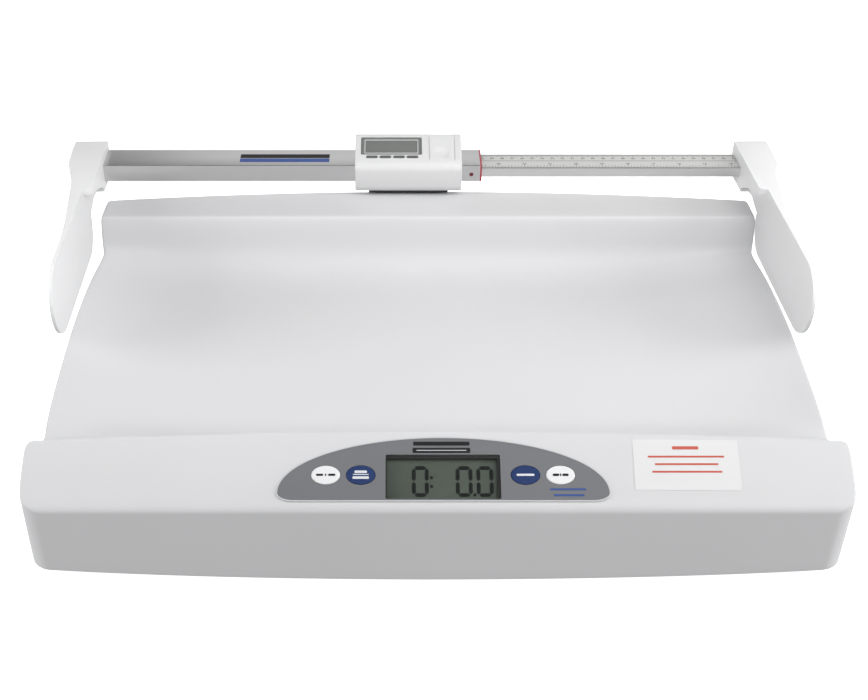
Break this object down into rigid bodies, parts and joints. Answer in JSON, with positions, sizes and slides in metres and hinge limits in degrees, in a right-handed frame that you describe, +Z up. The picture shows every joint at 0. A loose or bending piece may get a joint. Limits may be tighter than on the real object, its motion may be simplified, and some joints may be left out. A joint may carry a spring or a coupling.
{
  "type": "baby tray scale",
  "caption": "Digital baby weighing scale: moulded tray with a display console, and a telescoping length rod with two paddles and a digital reader.",
  "frame": {"origin": "middle of the bounding box at the height of the table, between the two paddles", "axes": "+X to the right along the length rod, +Y from the user's side to the rod, +Z up"},
  "size_m": [0.688, 0.451, 0.1675],
  "materials": {
    "tray": "satin moulded white",
    "base": "fine textured white",
    "circuit": "solder mask green",
    "black_plastic": "moulded black",
    "lcd": "grey-green liquid crystal",
    "window": "clear acrylic",
    "overlay": "printed grey film",
    "white_key": "moulded white",
    "blue_key": "moulded blue",
    "label": "blank white label film",
    "cell_metal": "milled",
    "rubber": "matte moulded",
    "steel": "zinc plated",
    "cable": "grey sheath",
    "inner_plastic": "moulded grey",
    "battery": "printed sleeve",
    "bracket": "black powder coat",
    "tube": "brushed, clear anodised",
    "index": "moulded red",
    "paddle": "satin moulded white",
    "reader_case": "satin moulded white",
    "grey_key": "moulded grey",
    "ruler": "printed measuring film",
    "code": "etched strip"
  },
  "bodies": {
    "scale": {"tray_shell": "tray", "base_cover": "base", "main_board": "circuit", "key_switches": "black_plastic", "display_module": "lcd", "display_window": "window", "console_overlay": "overlay", "care_label": "label", "load_cell_front_left": "cell_metal", "load_cell_front_right": "cell_metal", "load_cell_rear_left": "cell_metal", "load_cell_rear_right": "cell_metal", "foot_front_left": "rubber", "foot_front_right": "rubber", "foot_rear_left": "rubber", "foot_rear_right": "rubber", "foot_studs": "steel", "cell_screws": "steel", "case_screws": "steel", "sensor_cables": "cable", "battery_box": "inner_plastic", "batteries": "battery", "battery_contacts": "steel", "power_inlet": "black_plastic", "rod_bracket": "bracket", "bracket_knobs": "black_plastic", "outer_tube": "tube", "tube_plug": "black_plastic", "index_ring": "index", "index_pin": "index", "left_paddle": "paddle", "left_paddle_screws": "steel", "reader_lower_case": "reader_case", "reader_upper_case": "reader_case", "reader_board": "circuit", "reader_display": "lcd", "reader_window": "window", "reader_cell": "steel"},
    "rod": {"inner_rod": "tube", "ruler_strip": "ruler", "code_strip": "code", "glide_block": "black_plastic", "rod_end_block": "black_plastic", "right_paddle": "paddle", "right_paddle_screws": "steel"},
    "power_key": {"power_key": "white_key"},
    "zero_key": {"zero_key": "blue_key"},
    "release_key": {"release_key": "blue_key"},
    "units_key": {"units_key": "white_key"},
    "reader_key_1": {"reader_key_1": "grey_key"},
    "reader_key_2": {"reader_key_2": "grey_key"},
    "reader_key_3": {"reader_key_3": "grey_key"},
    "reader_key_4": {"reader_key_4": "grey_key"},
    "battery_door": {"battery_door": "base"},
    "reader_cell_cover": {"reader_cell_cover": "reader_case"}
  },
  "joints": [
    {"name": "rod_slide", "type": "slide", "parent": "scale", "child": "rod", "axis": [1, 0, 0], "range_m": [-0.25, 0.06]},
    {"name": "power_key_press", "type": "slide", "parent": "scale", "child": "power_key", "axis": [0, 0.515, -0.8572], "range_m": [0, 0.0008], "stiffness_N_per_m": 150, "springref_m": -0.002},
    {"name": "zero_key_press", "type": "slide", "parent": "scale", "child": "zero_key", "axis": [0, 0.515, -0.8572], "range_m": [0, 0.0008], "stiffness_N_per_m": 150, "springref_m": -0.002},
    {"name": "release_key_press", "type": "slide", "parent": "scale", "child": "release_key", "axis": [0, 0.515, -0.8572], "range_m": [0, 0.0008], "stiffness_N_per_m": 150, "springref_m": -0.002},
    {"name": "units_key_press", "type": "slide", "parent": "scale", "child": "units_key", "axis": [0, 0.515, -0.8572], "range_m": [0, 0.0008], "stiffness_N_per_m": 150, "springref_m": -0.002},
    {"name": "reader_key_1_press", "type": "slide", "parent": "scale", "child": "reader_key_1", "axis": [0, 0.3338, -0.9426], "range_m": [0, 0.0006], "stiffness_N_per_m": 120, "springref_m": -0.002},
    {"name": "reader_key_2_press", "type": "slide", "parent": "scale", "child": "reader_key_2", "axis": [0, 0.3338, -0.9426], "range_m": [0, 0.0006], "stiffness_N_per_m": 120, "springref_m": -0.002},
    {"name": "reader_key_3_press", "type": "slide", "parent": "scale", "child": "reader_key_3", "axis": [0, 0.3338, -0.9426], "range_m": [0, 0.0006], "stiffness_N_per_m": 120, "springref_m": -0.002},
    {"name": "reader_key_4_press", "type": "slide", "parent": "scale", "child": "reader_key_4", "axis": [0, 0.3338, -0.9426], "range_m": [0, 0.0006], "stiffness_N_per_m": 120, "springref_m": -0.002},
    {"name": "battery_door_slide", "type": "slide", "parent": "scale", "child": "battery_door", "axis": [0, 1, 0], "range_m": [0, 0.05]},
    {"name": "reader_cell_cover_slide", "type": "slide", "parent": "scale", "child": "reader_cell_cover", "axis": [0, 0.9426, 0.3338], "range_m": [0, 0.012]}
  ]
}
